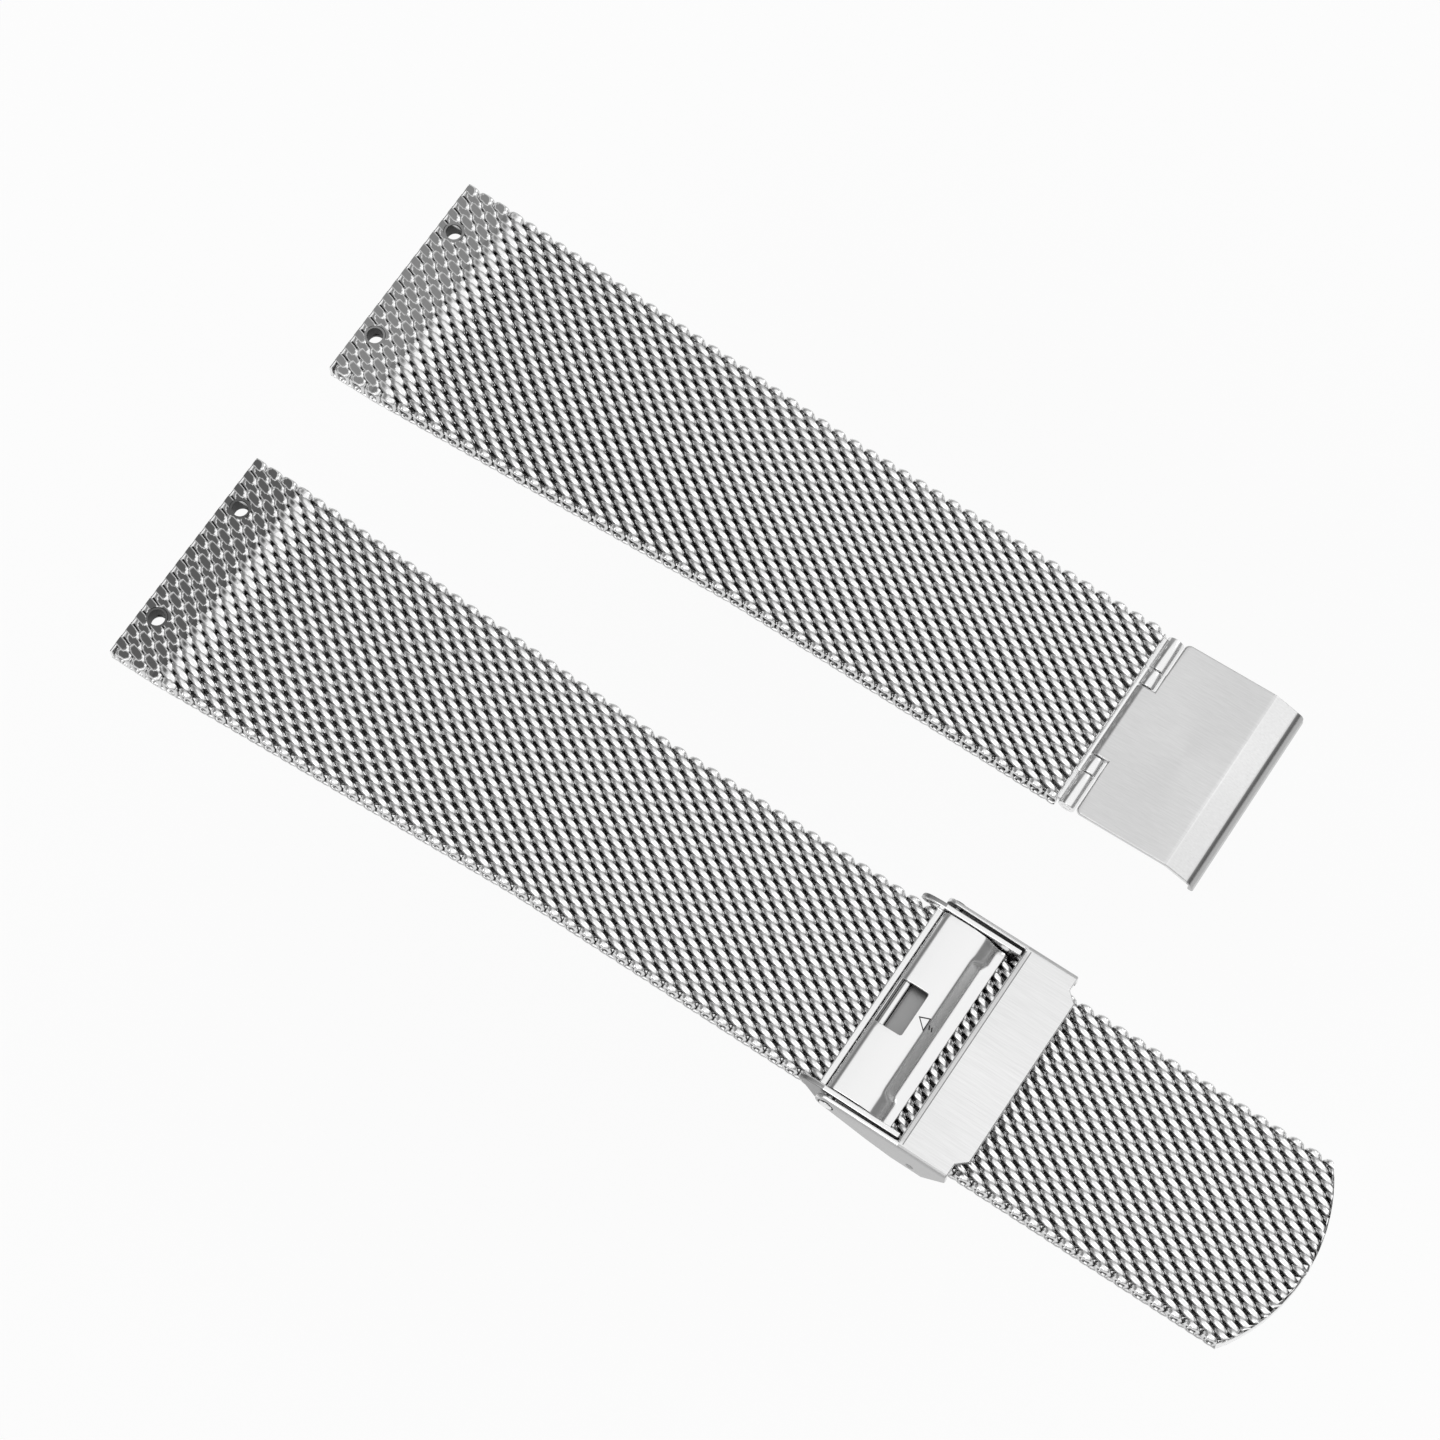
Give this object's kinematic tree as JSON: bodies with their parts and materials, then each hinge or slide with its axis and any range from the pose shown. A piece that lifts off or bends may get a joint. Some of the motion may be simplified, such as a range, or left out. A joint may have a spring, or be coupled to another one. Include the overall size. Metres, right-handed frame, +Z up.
{
  "type": "milanese mesh band",
  "caption": "Two-part woven steel watch band with a sliding clasp, a hinged cover, a locking flap and a hinged hook plate.",
  "frame": {"origin": "centre of the bounding box in plan, at the level that the band lies on", "axes": "+X along the band from the lug ends to the tip, +Y across it from the long half to the short half, +Z up through the outer face"},
  "size_m": [0.1156, 0.055, 0.0048],
  "materials": {
    "mesh": "bright woven stainless wire, ground flat at the lug ends",
    "brushed": "fine satin brushed stainless sheet",
    "bright": "polished stainless sheet"
  },
  "bodies": {
    "long_lug_end": {"long_mesh_lug_end": "mesh"},
    "long_link_1": {"long_mesh_link_1": "mesh"},
    "long_link_2": {"long_mesh_link_2": "mesh"},
    "long_link_3": {"long_mesh_link_3": "mesh"},
    "long_link_4": {"long_mesh_link_4": "mesh"},
    "long_link_5": {"long_mesh_link_5": "mesh"},
    "short_lug_end": {"short_mesh_lug_end": "mesh"},
    "short_link_1": {"short_mesh_link_1": "mesh"},
    "short_link_2": {"short_mesh_link_2": "mesh"},
    "short_link_3": {"short_mesh_link_3": "mesh"},
    "short_link_4": {"short_mesh_link_4": "mesh"},
    "short_link_5": {"short_mesh_link_5": "mesh"},
    "long_tail": {"long_mesh_tail": "mesh"},
    "short_hinge_end": {"short_mesh_hinge_end": "mesh", "hinge_fitting": "bright", "hinge_spacers": "bright", "hinge_pin": "bright"},
    "hook": {"hook_plate": "brushed"},
    "clasp": {"clasp_base": "bright", "clasp_pin": "bright"},
    "cover": {"clasp_cover": "brushed"},
    "flap": {"locking_flap": "bright"}
  },
  "joints": [
    {"name": "long_bend_1", "type": "hinge", "parent": "long_lug_end", "child": "long_link_1", "pos_m": [-0.04175, -0.01645, 0.0017], "axis": [0, 1, 0], "range_deg": [-18, 24]},
    {"name": "long_bend_2", "type": "hinge", "parent": "long_link_1", "child": "long_link_2", "pos_m": [-0.03275, -0.01645, 0.0017], "axis": [0, 1, 0], "range_deg": [-18, 24]},
    {"name": "long_bend_3", "type": "hinge", "parent": "long_link_2", "child": "long_link_3", "pos_m": [-0.02375, -0.01645, 0.0017], "axis": [0, 1, 0], "range_deg": [-18, 24]},
    {"name": "long_bend_4", "type": "hinge", "parent": "long_link_3", "child": "long_link_4", "pos_m": [-0.01475, -0.01645, 0.0017], "axis": [0, 1, 0], "range_deg": [-18, 24]},
    {"name": "long_bend_5", "type": "hinge", "parent": "long_link_4", "child": "long_link_5", "pos_m": [-0.00575, -0.01645, 0.0017], "axis": [0, 1, 0], "range_deg": [-18, 24]},
    {"name": "long_bend_6", "type": "hinge", "parent": "long_link_5", "child": "long_tail", "pos_m": [0.00325, -0.01645, 0.0017], "axis": [0, 1, 0], "range_deg": [-18, 24]},
    {"name": "short_bend_1", "type": "hinge", "parent": "short_lug_end", "child": "short_link_1", "pos_m": [-0.04175, 0.01645, 0.0011], "axis": [0, 1, 0], "range_deg": [-18, 24]},
    {"name": "short_bend_2", "type": "hinge", "parent": "short_link_1", "child": "short_link_2", "pos_m": [-0.03275, 0.01645, 0.0011], "axis": [0, 1, 0], "range_deg": [-18, 24]},
    {"name": "short_bend_3", "type": "hinge", "parent": "short_link_2", "child": "short_link_3", "pos_m": [-0.02375, 0.01645, 0.0011], "axis": [0, 1, 0], "range_deg": [-18, 24]},
    {"name": "short_bend_4", "type": "hinge", "parent": "short_link_3", "child": "short_link_4", "pos_m": [-0.01475, 0.01645, 0.0011], "axis": [0, 1, 0], "range_deg": [-18, 24]},
    {"name": "short_bend_5", "type": "hinge", "parent": "short_link_4", "child": "short_link_5", "pos_m": [-0.00575, 0.01645, 0.0011], "axis": [0, 1, 0], "range_deg": [-18, 24]},
    {"name": "short_bend_6", "type": "hinge", "parent": "short_link_5", "child": "short_hinge_end", "pos_m": [0.00325, 0.01645, 0.0011], "axis": [0, 1, 0], "range_deg": [-18, 24]},
    {"name": "clasp_slide", "type": "slide", "parent": "long_tail", "child": "clasp", "axis": [1, 0, 0], "range_m": [-0.009, 0.024]},
    {"name": "cover_hinge", "type": "hinge", "parent": "clasp", "child": "cover", "pos_m": [0.01675, -0.01645, 0.00367], "axis": [0, -1, 0], "range_deg": [0, 80]},
    {"name": "flap_hinge", "type": "hinge", "parent": "clasp", "child": "flap", "pos_m": [0.01675, -0.01645, 0.00367], "axis": [0, -1, 0], "range_deg": [0, 55]},
    {"name": "hook_hinge", "type": "hinge", "parent": "short_hinge_end", "child": "hook", "pos_m": [0.01925, 0.01645, 0.0011], "axis": [0, -1, 0], "range_deg": [-80, 80]},
    {"name": "short_half_lift", "type": "slide", "parent": "long_lug_end", "child": "short_lug_end", "axis": [0, 0, 1], "range_m": [0, 0.04]}
  ]
}
